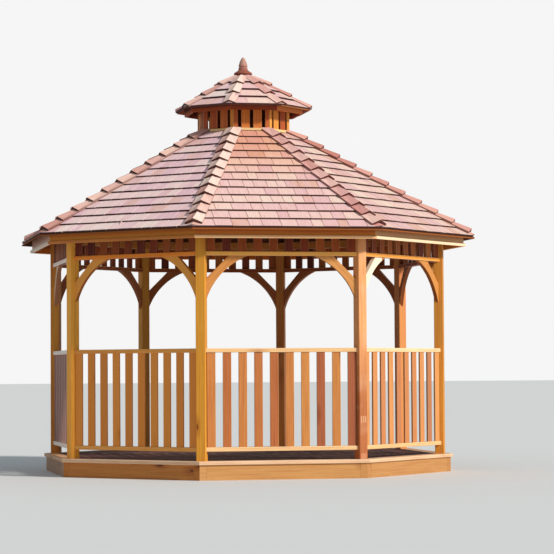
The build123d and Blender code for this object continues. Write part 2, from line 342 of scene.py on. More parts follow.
def paintedSide(turn, tint, depth=1.0, spread=bayDegrees / 2, mode="MIX", **limits):
    # Painted light and shade: a tint for what stands on one side of the gazebo.
    return {"turn": turn, "tint": tint, "depth": depth, "spread": spread, "mode": mode, **limits}


def shaded(turn, tint, **more):
    return paintedSide(turn, tint, mode="MULTIPLY", **more)


def fading(heights, depth, tint, mode="MULTIPLY"):
    return {"heights": heights, "depth": depth, "tint": tint, "mode": mode}


def tones(*stops):
    # Colours of the palest to the darkest board: (place, red, green, blue).
    return [(place, colour) for place, *colour in stops]


carriedPost = {"space": "post", "offset": bayAngle / 2}
carriedFrame = {"space": "rafter", "step": bayAngle / 2, "knots": 0.1}
shingleGrain = {
    "specular": 0.05, "sway": 0.35, "knots": 0.0, "roughness": (0.75, 0.95), "relief": 0.6, "ringDepth": 0.2,
    "streakDepth": 0.3, "grainTints": ((220, 190, 180), (205, 170, 160), (200, 170, 160)),
}
smallMark = {"turn": 22.5, "height": 0.537, "size": (0.011, 0.06), "depth": 0.4, "tint": (255, 216, 170)}
lowMark = {"turn": 22.5, "height": 0.2, "size": (0.06, 0.05), "depth": 0.25, "tint": (240, 190, 150)}
looks = {
    "post": {
        **carriedPost, "sway": 0.6, "knots": 0.10,
        # painted light and shade on the faces of the posts at 112.5 and -67.5 degrees
        "facings": [
            paintedSide(112.5, (226, 142, 92), 0.6, 10), paintedSide(-66, (206, 122, 40), 0.8, 0.28),
            paintedSide(-67.77, (255, 180, 66), 0.6, 1.48),
        ],
        "colours": tones((0.0, 206, 124, 70), (0.25, 218, 146, 60), (0.62, 228, 162, 52), (1.0, 206, 128, 52)),
    },
    "wornPost": {
        **carriedPost, "sway": 0.6, "knots": 0.06,
        "fade": fading((1.4, 0.7), 1.0, (200, 168, 152)),
        "marks": [{**smallMark, "across": aside} for aside in (-0.024, 0.0, 0.024)] + [{**lowMark, "across": 0.0}],
        "weather": {"size": 5.0, "depth": 0.35, "tint": (232, 186, 150)},
        "colours": tones((0.0, 236, 168, 108), (0.5, 226, 152, 92), (1.0, 214, 138, 80)),
    },
    "shadePost": {
        **carriedPost, "sway": 0.5, "knots": 0.06,
        # a paler copy of the post colours: painted light for the post that stands in the roof's shade
        "colours": tones((0.0, 255, 188, 74), (0.5, 255, 180, 66), (1.0, 246, 164, 58)),
    },
    "fascia": {
        "sway": 0.5, "knots": 0.05,
        # painted light and shade by side: shade on the left, a pale sheen at the far left, sunlight on the right
        "facings": [
            paintedSide(-45, (238, 158, 52), 0.6), paintedSide(-90, (226, 210, 196), 0.7),
            paintedSide(45, (255, 220, 170), 0.55),
        ],
        # painted shade: the fascia darkens towards its top under the eave
        "fade": fading((2.22, 2.262), 0.7, (184, 120, 78)),
        "colours": tones((0.0, 255, 174, 70), (0.5, 252, 156, 58), (1.0, 236, 136, 48)),
    },
    "strip": {
        "sway": 0.5, "knots": 0.03,
        # the strip's pale wood is partly painted sunlight on the fascia's lower edge; its side tints paint shade on
        # the left, a pale sheen at the far left and sunlight on the right
        "facings": [
            shaded(-45, (218, 184, 134)), paintedSide(-90, (226, 210, 196), 0.7),
            paintedSide(45, (255, 238, 204), 0.55),
        ],
        "colours": tones((0.0, 255, 206, 150), (0.5, 252, 192, 132), (1.0, 240, 172, 104)),
    },
    "rail": {
        "sway": 0.5, "knots": 0.03,
        # painted shade on the left bay, and a pale painted sheen on the far left
        "facings": [shaded(-45, (250, 208, 140)), paintedSide(-90, (255, 242, 234), 0.8)],
        "colours": tones((0.0, 252, 220, 170), (0.5, 244, 202, 144), (1.0, 234, 180, 120)),
    },
    "header": {
        # painted light and shade: pale colours and a front tint light the header under the eave, inner faces and
        # the left are shaded, the far left has a pale sheen
        "sway": 0.5, "knots": 0.04, "inner": {"past": 1.2, "tint": (150, 98, 84)},
        "facings": [
            shaded(-45, (248, 205, 150)), paintedSide(0, (255, 184, 88), 0.7), paintedSide(-90, (255, 242, 234), 0.8),
        ],
        "colours": tones((0.0, 255, 188, 86), (0.5, 255, 176, 76), (1.0, 250, 160, 66)),
    },
    "picket": {
        "sway": 0.3, "knots": 0.12,
        # painted light and shade for each bay; the picket tones are also kept darker as painted shade
        "facings": [
            paintedSide(-45, (244, 150, 44), 0.65), paintedSide(-90, (158, 124, 122), 0.76),
            shaded(0, (249, 238, 210)), paintedSide(45, (232, 158, 88), 0.32),
        ],
        "colours": tones(
            (0.0, 218, 156, 94), (0.35, 206, 138, 84), (0.6, 194, 122, 76), (0.85, 180, 108, 78),
            (1.0, 154, 96, 78),
        ),
    },
    "trim": {
        "sway": 0.5, "knots": 0.10,
        "colours": tones((0.0, 212, 139, 61), (0.5, 200, 125, 50), (1.0, 187, 109, 42)),
    },
    "friezeSlat": {
        # painted shade: dark colours for slats shaded by the eave, darker on the left and the front
        "sway": 0.45, "knots": 0.05,
        "facings": [shaded(-45, (204, 176, 150)), shaded(0, (226, 198, 160))],
        "colours": tones((0.0, 206, 124, 48), (0.5, 160, 76, 34), (1.0, 112, 42, 24)),
    },
    "brace": {
        # painted light and shade: inner faces and the left shaded, sunlight on the brace at 28 degrees, a pale
        # sheen at the far left
        "space": "brace", "sway": 0.4, "knots": 0.03, "inner": {"past": 1.2, "tint": (196, 156, 138)},
        "facings": [
            paintedSide(28, (255, 240, 214), 0.85, 5.4), paintedSide(-45, (250, 168, 58), 0.5),
            paintedSide(-90, (240, 212, 180), 0.6),
        ],
        "colours": tones((0.0, 222, 158, 88), (0.5, 212, 145, 74), (1.0, 202, 130, 64)),
    },
    "skirt": {
        "sway": 0.5, "knots": 0.22,
        # painted light and shade by side
        "facings": [
            shaded(-45, (246, 216, 172)), paintedSide(-90, (160, 128, 108), 0.6), shaded(45, (246, 248, 255)),
        ],
        "colours": tones((0.0, 214, 164, 104), (0.5, 204, 150, 88), (1.0, 194, 136, 76)),
    },
    "deck": {
        "sway": 0.6, "knots": 0.12, "roughness": (0.75, 0.95), "specular": 0.15,
        "colours": tones((0.0, 108, 72, 64), (0.5, 90, 57, 52), (1.0, 72, 46, 44)),
    },
    "nosing": {
        "sway": 0.4, "knots": 0.08,
        "colours": tones((0.0, 242, 206, 170), (0.5, 234, 192, 150), (1.0, 222, 174, 128)),
    },
    "shingle": {
        # butt ends and the band below each course are darkened partly as painted shade; the side and height tints
        # are painted light and shade on the panels
        **shingleGrain, "rings": 45, "buttTint": (50, 22, 18),
        "courseShade": {"limits": (0.137, 0.149), "tint": (90, 44, 46)},
        "facings": [
            shaded(0, (242, 236, 228)), shaded(67.5, (232, 228, 218), spread=45),
            shaded(0, (250, 222, 196), heights=(2.75, 3.15), until=3.35),
        ],
        "colours": tones(
            (0.0, 255, 236, 226), (0.12, 255, 228, 222), (0.5, 252, 218, 218), (0.88, 244, 206, 214),
            (1.0, 242, 200, 188),
        ),
    },
    "cap": {
        # butt ends and outer sides darkened partly as painted shade; the side tints are painted light and shade on
        # each hip
        **shingleGrain, "buttTint": (60, 26, 20),
        "facings": [
            paintedSide(-22.5, (206, 206, 206), 1.0, 10, "OVERLAY"),
            paintedSide(22.5, (216, 188, 194), 0.5, 10, "OVERLAY"),
            shaded(90, (240, 220, 216), spread=38),
        ],
        "colours": tones((0.0, 244, 206, 190), (0.4, 232, 190, 178), (0.75, 220, 172, 160), (1.0, 208, 154, 142)),
    },
    "rafter": {
        # colours kept dark as painted shade under the roof
        **carriedFrame, "roughness": (0.6, 0.8),
        "colours": tones((0.0, 112, 64, 34), (0.5, 98, 52, 28), (1.0, 84, 44, 24)),
    },
    "roofBoard": {
        # colours kept dark as painted shade under the roof
        "space": "roof", "boardWidth": 0.14, "boardGap": 0.006, "knots": 0.15, "roughness": (0.65, 0.85),
        "rim": {"above": 2.25, "tint": (148, 86, 44)}, "specular": 0.05,
        "colours": tones((0.0, 104, 58, 34), (0.5, 88, 46, 27), (1.0, 72, 37, 22)),
    },
    "cupolaEave": {
        "space": "roof", "boardWidth": 0.14, "boardGap": 0.0, "knots": 0.05, "roughness": (0.6, 0.8),
        # the rim darkens the eave edge above the fascia as painted shade below the shingles; the right side is
        # paler as painted sunlight
        "rim": {"above": 3.557, "tint": (98, 50, 36)}, "facings": [paintedSide(45, (255, 176, 96), 0.3)],
        "colours": tones((0.0, 180, 92, 44), (0.5, 160, 76, 34), (1.0, 140, 62, 28)),
    },
    "cupola": {
        # inner faces darkened as painted shade inside the cupola
        "sway": 0.5, "knots": 0.03, "inner": {"past": 0.2, "tint": (50, 34, 28)},
        "fade": fading((3.364, 3.354), 0.7, (255, 226, 160), "MIX"),
        "colours": tones((0.0, 240, 168, 72), (0.4, 224, 142, 58), (0.7, 206, 116, 48), (1.0, 176, 82, 38)),
    },
    "joist": {
        **carriedFrame, "roughness": (0.7, 0.9),
        "colours": tones((0.0, 150, 108, 72), (0.5, 134, 94, 62), (1.0, 118, 80, 52)),
    },
    "finial": {
        "sway": 0.5, "knots": 0.0, "roughness": (0.6, 0.8),
        "fade": fading((4.04, 3.97), 0.9, (206, 150, 130)),
        "colours": tones((0.0, 208, 172, 160), (0.5, 188, 142, 128), (1.0, 170, 112, 96)),
    },
}
steelLook = {"grain": 900, "colours": ((120, 104, 84), (182, 170, 148)), "roughness": (0.3, 0.6), "metallic": 0.9}
finishes = {name: cedarFinish("cedar" + name[0].upper() + name[1:], look) for name, look in looks.items()}
finishes["steel"] = steelFinish("deckScrewSteel", steelLook)
print("materials made")


# boards
patterns = []


def linked(name, mesh):
    thing = bpy.data.objects.new(name, mesh)
    scene.collection.objects.link(thing)
    return thing


def patternObject(name, mesh):
    # A pattern for a tree to repeat, taken away again at the end.
    patterns.append(linked(name, mesh))
    return patterns[-1]


def boardMesh(name, points, faces, local, **values):
    # A mesh with what the cedar finish reads: each point's place on its own board, and more.
    mesh = bpy.data.meshes.new(name)
    mesh.from_pydata([tuple(point) for point in points], [], faces)
    flat = [value for point in local for value in point]
    mesh.attributes.new("boardPoint", "FLOAT_VECTOR", "POINT").data.foreach_set("vector", flat)
    for label, numbers in values.items():
        domain = "FACE" if label == "boardEdge" else "POINT"
        mesh.attributes.new(label, "FLOAT", domain).data.foreach_set("value", numbers)
    return mesh


def prismFaces(count):
    # Two ends of so many corners, then the sides between them.
    after = [(i, (i + 1) % count) for i in range(count)]
    ends = [tuple(range(count)), tuple(count + i for i in reversed(range(count)))]
    return ends + [(i, count + i, count + j, j) for i, j in after]


class BoardStack:
    # Collects sawn boards with eased edges and makes one mesh of them.

    def __init__(self):
        self.points, self.faces = [], []
        self.local, self.tone, self.seed, self.edge = [], [], [], []

    def add(self, centre, along, across, size, ease, cuts=(0.0, 0.0), tone=0.5, seed=0.0):
        length, width, thick = size
        through = along.cross(across)
        w, t, e = width / 2, thick / 2, min(ease, width / 4, thick / 4)
        k = e * 0.3
        section = [
            (-w + e, -t), (w - e, -t), (w - k, -t + k), (w, -t + e), (w, t - e), (w - k, t - k),
            (w - e, t), (-w + e, t), (-w + k, t - k), (-w, t - e), (-w, -t + e), (-w + k, -t + k),
        ]
        start = len(self.points)
        for end, cut in zip((-1, 1), cuts):
            for a, b in section:
                x = end * length / 2 + cut * a
                self.points.append(centre + along * x + across * a + through * b)
                self.local.append((x, a, b))
                self.tone.append(tone)
                self.seed.append(seed)
        count = len(section)
        rounded = {1, 2, 4, 5, 7, 8, 10, 11}
        for i in range(count):
            j = (i + 1) % count
            self.faces.append((start + i, start + j, start + count + j, start + count + i))
            self.edge.append(1.0 if i in rounded else 0.0)
        self.faces.append(tuple(start + i for i in reversed(range(count))))
        self.faces.append(tuple(start + count + i for i in range(count)))
        self.edge += [0.0, 0.0]

    def mesh(self, name):
        mesh = boardMesh(
            name, self.points, self.faces, self.local,
            boardTone=self.tone, boardSeed=self.seed, boardEdge=self.edge,
        )
        mesh.validate()
        mesh.update()
        return mesh

    def piece(self, name, finish):
        piece = linked(name, self.mesh(name))
        piece.data.materials.append(finishes[finish])
        return piece


def bayBoard(stack, turn, distance, height, size, cuts, ease, shift=0.0):
    # A level board along one bay: size is length, depth front to back, height.
    centre = outward(turn, distance) + up * height + alongBay(turn) * shift
    stack.add(centre, alongBay(turn), outward(turn), size, ease, cuts, luck.random(), luck.random())


def band(stack, turn, face, thick, low, height, ease):
    # A mitred board right across one bay, its outer face at a distance from the axis.
    middle = face - thick / 2
    bayBoard(stack, turn, middle, low + height / 2, (2 * middle * halfTan, thick, height), mitred, ease)


def settle(piece, slotName, *nodeNames):
    # The finished piece rides on the gazebo's body and stands for its CAD nodes.
    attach(piece, "root")
    if nodeNames:
        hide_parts(*nodeNames)
    return piece


def dressNode(nodeName, finish):
    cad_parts[nodeName].data.materials[0] = finishes[finish]


# geometry nodes
class LayTree(Net):
    # A tree that repeats a pattern, with named inputs for its sizes.

    def __init__(self, name, sizes):
        super().__init__(bpy.data.node_groups.new(name, "GeometryNodeTree"))
        face = self.tree.interface
        face.new_socket("Geometry", in_out="OUTPUT", socket_type="NodeSocketGeometry")
        kinds = {"Geometry": "Geometry", "Pattern": "Object", "Finish": "Material"}
        kinds.update({label: "Int" if isinstance(size, int) else "Float" for label, size in sizes.items()})
        for label, kind in kinds.items():
            face.new_socket(label, in_out="INPUT", socket_type="NodeSocket" + kind)
        self.sizes = sizes
        self.entry = self.tree.nodes.new("NodeGroupInput")
        self.exit = self.tree.nodes.new("NodeGroupOutput")
        self.index = self.get("GeometryNodeInputIndex", 0, {})

    def __getitem__(self, label):
        return self.out(self.entry, label)

    def position(self):
        return self.get("GeometryNodeInputPosition", 0, {})

    def chance(self, low, high, seed, number=None):
        inputs = {"ID": self.index if number is None else number, "Seed": seed}
        node = self.node("FunctionNodeRandomValue", inputs, data_type="FLOAT")
        ends = [socket for socket in node.inputs if socket.name in ("Min", "Max") and socket.type == "VALUE"]
        for socket, value in zip(ends, (low, high)):
            self.fill(socket, value)
        return Term(self, [socket for socket in node.outputs if socket.type == "VALUE"][0])

    def store(self, geometry, label, value, kind="FLOAT"):
        inputs = {"Geometry": geometry, "Name": label, "Value": value}
        return self.get("GeometryNodeStoreNamedAttribute", "Geometry", inputs, data_type=kind, domain="POINT")

    def named(self, label, kind="FLOAT"):
        return self.get("GeometryNodeInputNamedAttribute", "Attribute", {"Name": label}, data_type=kind)

    def place(self, geometry, position):
        return self.get("GeometryNodeSetPosition", "Geometry", {"Geometry": geometry, "Position": position})

    def start(self, count, position):
        return self.place(self.get("GeometryNodeMeshLine", "Mesh", {"Count": count}), position)

    def pick(self, points, turn, toneSeed, woodSeed):
        # Gives each board the turn of its bay, and a tone and a seed of its own.
        points = self.store(points, "layTurn", turn)
        points = self.store(points, "pickTone", self.chance(0.0, 1.0, toneSeed))
        return self.store(points, "pickSeed", self.chance(0.0, 1.0, woodSeed))

    def repeat(self, points, turns):
        info = self.get("GeometryNodeObjectInfo", "Geometry", {"Object": self["Pattern"]})
        inputs = {"Points": points, "Instance": info, **turns}
        placed = self.get("GeometryNodeInstanceOnPoints", 0, inputs)
        return self.get("GeometryNodeRealizeInstances", 0, {0: placed})

    def turnToBay(self, geometry):
        return self.place(geometry, self.turned(self.position(), self.named("layTurn")))

    def end(self, geometry, picked=True):
        if picked:  # the finish reads each board's own tone and seed
            geometry = self.store(geometry, "boardTone", self.named("pickTone"))
            geometry = self.store(geometry, "boardSeed", self.named("pickSeed"))
        inputs = {"Geometry": geometry, "Material": self["Finish"]}
        self.fill(self.exit.inputs[0], self.get("GeometryNodeSetMaterial", 0, inputs))
        return self

    def grow(self, name, pattern, finish, sizes):
        # Runs the tree once and keeps the result as a plain mesh.
        holder = linked(name + "Seed", bpy.data.meshes.new(name + "Seed"))
        modifier = holder.modifiers.new("lay", "NODES")
        modifier.node_group = self.tree
        keys = {item.name: item.identifier for item in self.tree.interface.items_tree if item.in_out == "INPUT"}
        inputs = {"Pattern": pattern, "Finish": finishes[finish], **self.sizes, **sizes}
        for label, value in inputs.items():
            modifier[keys[label]] = value
        graph = bpy.context.evaluated_depsgraph_get()
        mesh = bpy.data.meshes.new_from_object(holder.evaluated_get(graph))
        mesh.name = name
        bpy.data.objects.remove(holder)
        return linked(name, mesh)


def rowTree():
    # Upright boards in a row on each bay, evenly spaced between its posts.
    lay = LayTree("boardRow", {
        "Bays": 4, "First bay": 7, "Per bay": 10, "Pitch": 0.15, "Distance": 1.8, "Height": 0.3, "Lean": 0.002,
        "Seed": 1,
    })
    bay = (lay.index / lay["Per bay"]).floor()
    inBay = lay.index - bay * lay["Per bay"]
    x = (inBay - (lay["Per bay"] - 1) * 0.5) * lay["Pitch"]
    turn = (bay + lay["First bay"]) * bayAngle
    spot = lay.turned(lay.vector(x, -lay["Distance"], lay["Height"]), turn)
    points = lay.pick(lay.start(lay["Bays"] * lay["Per bay"], spot), turn, lay["Seed"], lay["Seed"] + 7)
    lean = lay.chance(-lay["Lean"], lay["Lean"], lay["Seed"] + 3)
    return lay.end(lay.repeat(points, {"Rotation": lay.vector(0.0, lean, lay.named("layTurn"))}))


def shingleTree():
    # Courses of shingles of random widths on each roof panel, cut on the hip lines.
    lay = LayTree("shingleCourses", {
        "Panels": 8, "Courses": 13, "Per course": 20, "Narrowest": 0.08, "Widest": 0.2, "Gap": 0.004,
        "Exposure": 0.15, "Pitch": 0.56, "Eave distance": 2.1, "Eave height": 2.28, "Top distance": 0.44,
        "Butt wander": 0.003, "Start wander": 0.1, "Skew": 0.004, "Lift": 0.006, "Hip margin": 0.012,
        "Weld": 0.00002, "Seed": 5,
    })
    seed, pitch = lay["Seed"], lay["Pitch"]
    row = (lay.index / lay["Per course"]).floor()
    panel = (row / lay["Courses"]).floor()
    course = row - panel * lay["Courses"]
    width = lay.chance(lay["Narrowest"], lay["Widest"], seed)
    run = lay.node("GeometryNodeAccumulateField", {0: width, 1: row})
    start = lay.chance(-lay["Start wander"], lay["Start wander"], seed + 13, row)
    x = lay.out(run, "Trailing") - lay.out(run, "Total") * 0.5 + start + width * 0.5
    wander = lay.chance(-lay["Butt wander"], lay["Butt wander"], seed + 14)
    climb = course * lay["Exposure"] + abs(wander)
    distance = lay["Eave distance"] - climb * pitch.math("COSINE")
    height = lay["Eave height"] + climb * pitch.math("SINE")
    count = lay["Panels"] * lay["Courses"] * lay["Per course"]
    points = lay.start(count, lay.vector(x, -distance, height))
    points = lay.pick(points, panel * bayAngle, seed + 11, seed + 12)
    points = lay.store(points, "shingleWidth", width)
    # shingles wholly past the hip aren't laid
    x, y, _ = lay.split(lay.position())
    width = lay.named("shingleWidth")
    past = abs(x) - width * 0.5 > y * -halfTan - lay["Hip margin"]
    points = lay.get("GeometryNodeDeleteGeometry", 0, {"Geometry": points, "Selection": past})
    skew = (lay.named("pickTone") - 0.5) * lay["Skew"]
    lifted = lay.named("pickSeed") * lay["Lift"]
    cut = lay.repeat(points, {
        "Rotation": lay.vector(pitch - lifted, 0.0, skew), "Scale": lay.vector(width - lay["Gap"], 1.0, 1.0),
    })
    # cut on the hips and against the curb
    x, y, z = lay.split(lay.position())
    short = (y + lay["Top distance"]).math("MAXIMUM", 0.0)
    y = y - short
    reach = y * -halfTan
    x = x.math("MINIMUM", reach).math("MAXIMUM", -reach)
    cut = lay.place(cut, lay.vector(x, y, z - short * pitch.math("TANGENT")))
    along, across, through = lay.split(lay.named("boardPoint", "FLOAT_VECTOR"))
    cut = lay.store(cut, "boardPoint", lay.vector(along, across * width, through), "FLOAT_VECTOR")
    inputs = {"Geometry": lay.turnToBay(cut), "Distance": lay["Weld"]}
    return lay.end(lay.get("GeometryNodeMergeByDistance", 0, inputs))


def capTree():
    # Pairs of cap shingles climbing each hip, the left one the mirror of the right.
    lay = LayTree("hipCapSteps", {
        "Hips": 8, "Steps": 11, "Exposure": 0.19, "Hip pitch": 0.527, "Start radius": 2.22, "Eave radius": 2.278,
        "Eave height": 2.283, "Top distance": 0.44, "Wander": 0.004, "Twist": 0.01, "Seed": 9,
    })
    seed, hipTan = lay["Seed"], lay["Hip pitch"].math("TANGENT")
    pair = (lay.index / 2).floor()
    hip = (pair / lay["Steps"]).floor()
    step = pair - hip * lay["Steps"]
    climb = step * lay["Exposure"] + lay.chance(0.0, lay["Wander"], seed)
    radius = lay["Start radius"] - climb * lay["Hip pitch"].math("COSINE")
    height = lay["Eave height"] + (lay["Eave radius"] - radius) * hipTan
    points = lay.start(lay["Hips"] * lay["Steps"] * 2, lay.vector(0.0, -radius, height))
    points = lay.pick(points, (hip - 0.5) * bayAngle, seed + 21, seed + 22)
    points = lay.store(points, "laySide", lay.index - pair * 2)
    twist = (lay.named("pickSeed") - 0.5) * lay["Twist"]
    caps = lay.repeat(points, {"Rotation": lay.vector(twist)})
    # cut against the curb, then every second cap mirrored
    x, y, z = lay.split(lay.position())
    side = lay.named("laySide")
    reach = y * -halfCos + abs(x) * halfSin
    short = (lay["Top distance"] - reach).math("MAXIMUM", 0.0) / halfCos
    caps = lay.place(caps, lay.vector(x * (1.0 - side * 2), y - short, z - short * hipTan))
    caps = lay.get("GeometryNodeFlipFaces", 0, {"Mesh": caps, "Selection": side > 0.5})
    return lay.end(lay.turnToBay(caps))


def deckTree():
    # Rings of deck boards, mitred over the hip joists; the pattern is one metre long.
    lay = LayTree("deckRings", {
        "Panels": 8, "Rings": 12, "First ring": 0, "Pitch": 0.144, "Board width": 0.14, "Deck distance": 1.9066,
        "Mitre gap": 0.0015, "Height": 0.1565, "Seed": 3,
    })
    panel = (lay.index / lay["Rings"]).floor()
    ring = lay.index - panel * lay["Rings"] + lay["First ring"]
    distance = lay["Deck distance"] - (ring * lay["Pitch"] + lay["Board width"] * 0.5)
    points = lay.start(lay["Panels"] * lay["Rings"], lay.vector(0.0, -distance, lay["Height"]))
    points = lay.pick(points, panel * bayAngle, lay["Seed"], lay["Seed"] + 31)
    boards = lay.repeat(points, {})
    x, y, z = lay.split(lay.position())
    x = x * 2 * (y * -halfTan - lay["Mitre gap"])
    boards = lay.place(boards, lay.vector(x, y, z))
    _, across, through = lay.split(lay.named("boardPoint", "FLOAT_VECTOR"))
    boards = lay.store(boards, "boardPoint", lay.vector(x, across, through), "FLOAT_VECTOR")
    return lay.end(lay.turnToBay(boards))


def screwTree():
    # Two screws in every deck board at its middle joist and near both mitres.
    lay = LayTree("deckScrewRows", {
        "Panels": 8, "Rings": 12, "Pitch": 0.144, "Board width": 0.14, "Deck distance": 1.9066,
        "From mitre": 0.028, "From edge": 0.024, "Height": 0.173, "Wander": 0.004, "Seed": 77,
    })
    perBoard = 6
    board = (lay.index / perBoard).floor()
    spot = lay.index - board * perBoard
    panel = (board / lay["Rings"]).floor()
    ring = board - panel * lay["Rings"]
    column = (spot / 2).floor() - 1
    edge = spot.math("MODULO", 2) * 2 - 1
    across = edge * (lay["Board width"] * 0.5 - lay["From edge"])
    distance = lay["Deck distance"] - (ring * lay["Pitch"] + lay["Board width"] * 0.5) + across
    wander = lay.chance(-lay["Wander"], lay["Wander"], lay["Seed"])
    x = column * (distance * halfTan - lay["From mitre"]) + wander
    place = lay.turned(lay.vector(x, -distance, lay["Height"]), panel * bayAngle)
    points = lay.start(lay["Panels"] * lay["Rings"] * perBoard, place)
    spin = lay.vector(0.0, 0.0, lay.chance(0.0, 6.28, lay["Seed"] + 1))
    return lay.end(lay.repeat(points, {"Rotation": spin}), picked=False)


rows, courses, capSteps, deckRings, screws = rowTree(), shingleTree(), capTree(), deckTree(), screwTree()
print("laying trees ready")

# floor
skirt = {"face": 1.88656, "thick": 0.025, "height": 0.14, "cornerBoard": 0.06, "seam": 0.0015, "ease": 0.002}
skirtStack = BoardStack()
for turn in bayTurn.values():
    thick, height, short = skirt["thick"], skirt["height"], skirt["cornerBoard"]
    middle = skirt["face"] - thick / 2
    mainLength = 2 * middle * halfTan - 2 * short
    size = (mainLength - 2 * skirt["seam"], thick, height)
    bayBoard(skirtStack, turn, middle, height / 2, size, (0.0, 0.0), skirt["ease"])
    for end, cuts in ((-1, (-halfTan, 0.0)), (1, (0.0, halfTan))):
        shift = end * (mainLength + short) / 2
        bayBoard(skirtStack, turn, middle, height / 2, (short, thick, height), cuts, skirt["ease"], shift)
settle(skirtStack.piece("skirtBoards", "skirt"), "skirt_cedar", "skirt")

deck = {
    "face": 1.90656, "top": 0.173, "thick": 0.033, "boardWidth": 0.14, "pitch": 0.1445, "rings": 13, "round": 0.006,
    "screwHead": 0.0045, "plugGap": 0.003, "plugEase": 0.004,
}
deckPattern = BoardStack()
deckBoardSize = (1.0, deck["boardWidth"], deck["thick"])
deckPattern.add(Vector((0, 0, 0)), Vector((1, 0, 0)), Vector((0, -1, 0)), deckBoardSize, deck["round"])
deckBoard = patternObject("deckBoardPattern", deckPattern.mesh("deckBoardPattern"))
ringSizes = {"Pitch": deck["pitch"], "Board width": deck["boardWidth"], "Deck distance": deck["face"]}
deckHeight = deck["top"] - deck["thick"] / 2
innerRings = {**ringSizes, "Height": deckHeight, "Rings": deck["rings"] - 1, "First ring": 1, "Seed": 3}
outerRing = {**ringSizes, "Height": deckHeight, "Rings": 1, "First ring": 0, "Seed": 8}
settle(deckRings.grow("deckBoards", deckBoard, "deck", innerRings), "deck_cedar", "deck_floor")
settle(deckRings.grow("nosingBoards", deckBoard, "nosing", outerRing), "deck_cedar")


def screwHead(name, radius):
    # Low domed head with a round recess.
    points, faces, sides = [(0, 0, -0.0004)], [], 16
    rings = (
        (radius * 0.42, -0.0004), (radius * 0.46, 0.0009), (radius * 0.8, 0.0008), (radius, 0.0002),
        (radius, -0.002),
    )
    for ringRadius, height in rings:
        for number in range(sides):
            angle = 2 * pi * number / sides
            points.append((ringRadius * cos(angle), ringRadius * sin(angle), height))
    for number in range(sides):
        after = (number + 1) % sides
        faces.append((0, 1 + number, 1 + after))
        for ring in range(len(rings) - 1):
            low, high = 1 + ring * sides, 1 + (ring + 1) * sides
            faces.append((low + number, high + number, high + after, low + after))
    faces.append(tuple(1 + (len(rings) - 1) * sides + number for number in reversed(range(sides))))
    mesh = bpy.data.meshes.new(name)
    mesh.from_pydata(points, [], faces)
    return patternObject(name, mesh)


screwRows = {**ringSizes, "Rings": deck["rings"] - 1, "Height": deck["top"]}
screwPattern = screwHead("screwPattern", deck["screwHead"])
settle(screws.grow("deckScrews", screwPattern, "steel", screwRows), "deck_cedar")
print("floor laid")

# posts, rails and pickets
rail = {
    "depth": 0.064, "thick": 0.038, "bottomUnder": 0.258, "topUnder": 1.157, "headerUnder": 2.04, "ease": 0.005,
}
picket = {
    "count": 10, "width": 0.078, "thick": 0.019, "setback": 0.010, "ease": 0.003,
    "railingSeed": 3942, "friezeSeed": 33,
}
plate = {"under": 2.282, "height": 0.076, "depth": 0.089, "ease": 0.003}


def railBoard(stack, turn, under):
    size = (freeLength(postLine), rail["depth"], rail["thick"])
    bayBoard(stack, turn, postLine, under + rail["thick"] / 2, size, mitred, rail["ease"])


picketFace = postLine + rail["depth"] / 2 - picket["setback"]
picketSpan = freeLength(picketFace - picket["thick"]) - picket["width"]
picketRow = {
    "Per bay": picket["count"], "Pitch": picketSpan / (picket["count"] - 1),
    "Distance": picketFace - picket["thick"] / 2,
}


def uprightRow(name, finish, low, high, rowSizes):
    # Pickets or frieze slats between two heights.
    stack = BoardStack()
    size = (high - low, picket["width"], picket["thick"])
    stack.add(Vector((0, 0, 0)), up, Vector((1, 0, 0)), size, picket["ease"])
    pattern = patternObject(name + "Pattern", stack.mesh(name + "Pattern"))
    return rows.grow(name, pattern, finish, {**picketRow, "Height": (low + high) / 2, **rowSizes})


railStack, headerStack, plateStack = BoardStack(), BoardStack(), BoardStack()
for name in railedBays:
    for under in (rail["bottomUnder"], rail["topUnder"]):
        railBoard(railStack, bayTurn[name], under)
settle(railStack.piece("railingRails", "rail"), "railing_cedar", *["railing_" + name for name in railedBays])
picketLow = rail["bottomUnder"] + rail["thick"]
railedRow = {"Bays": len(railedBays), "First bay": bayNames.index("left"), "Seed": picket["railingSeed"]}
settle(uprightRow("railingPickets", "picket", picketLow, rail["topUnder"], railedRow), "railing_cedar")

plateFace = postLine + plate["depth"] / 2
for turn in bayTurn.values():
    railBoard(headerStack, turn, rail["headerUnder"])
    band(plateStack, turn, plateFace, plate["depth"], plate["under"], plate["height"], plate["ease"])
settle(headerStack.piece("headerRails", "header"), "trim_cedar")
settle(plateStack.piece("topPlates", "trim"), "trim_cedar", *["frieze_" + name for name in bayNames])
slatLow = rail["headerUnder"] + rail["thick"]
friezeRow = {"Bays": gazebo["bays"], "First bay": 0, "Seed": picket["friezeSeed"]}
settle(uprightRow("friezeSlats", "friezeSlat", slatLow, plate["under"], friezeRow), "trim_cedar")

for number in range(1, gazebo["bays"] + 1):
    dressNode(f"post_{number}", {2: "wornPost", 8: "shadePost"}.get(number, "post"))
for name in bayNames:
    dressNode("braces_" + name, "brace")
    dressNode("roof_" + name, "roofBoard")
for nodeName, finish in {"rafters": "rafter", "floor_frame": "joist", "floor_hub": "joist"}.items():
    dressNode(nodeName, finish)
print("walls framed")

